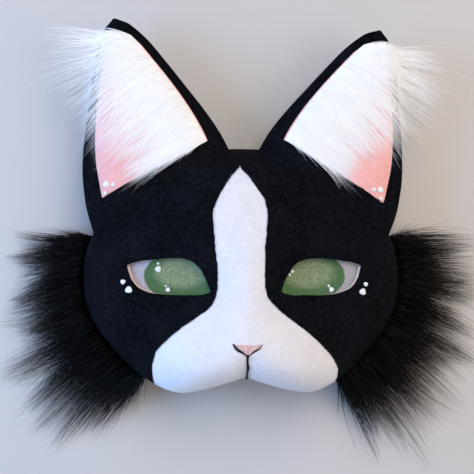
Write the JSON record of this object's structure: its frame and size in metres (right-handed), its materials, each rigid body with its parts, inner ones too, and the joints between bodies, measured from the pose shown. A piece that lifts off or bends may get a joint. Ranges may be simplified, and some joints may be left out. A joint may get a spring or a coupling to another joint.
{
  "type": "cat mask",
  "caption": "Felt-covered cat mask with a white blaze and muzzle, furred upright ears, black cheek fur, painted mesh eyes and an elastic strap.",
  "frame": {"origin": "centre of the bounding box's bottom face, in the plane that the mask's rim lies on", "axes": "+Z out of the face, +Y towards the ears, +X to the viewer's right when looking at the face"},
  "size_m": [0.2794, 0.2406, 0.0656],
  "materials": {
    "shell": "matt moulded plastic",
    "black_felt": "short-napped black felt with a faint blue cast",
    "white_felt": "short-napped white felt",
    "pink_felt": "pink felt",
    "white_fur": "long silky white fur",
    "black_fur": "long coarse black fur with browner tips",
    "eye_mesh": "fine plastic mesh, painted green with a pale rim",
    "nose_paint": "pink glittered paint",
    "line_paint": "thick glossy black paint",
    "dot_paint": "thick glossy white paint",
    "elastic": "woven black elastic"
  },
  "bodies": {
    "root": {"mask_shell": "shell", "black_felt": "black_felt", "white_felt": "white_felt", "nose": "nose_paint", "mouth_line": "line_paint", "eye_mesh_left": "eye_mesh", "eye_mesh_right": "eye_mesh", "cheek_fur_left": "black_fur", "cheek_fur_right": "black_fur", "ear_left": "black_felt", "ear_right": "black_felt", "ear_lining_left": "pink_felt", "ear_lining_right": "pink_felt", "ear_fur_left": "white_fur", "ear_fur_right": "white_fur", "paint_dot_left_upper": "dot_paint", "paint_dot_left_lower": "dot_paint", "paint_dot_right_upper": "dot_paint", "paint_dot_right_lower": "dot_paint", "elastic_strap": "elastic"}
  },
  "joints": []
}
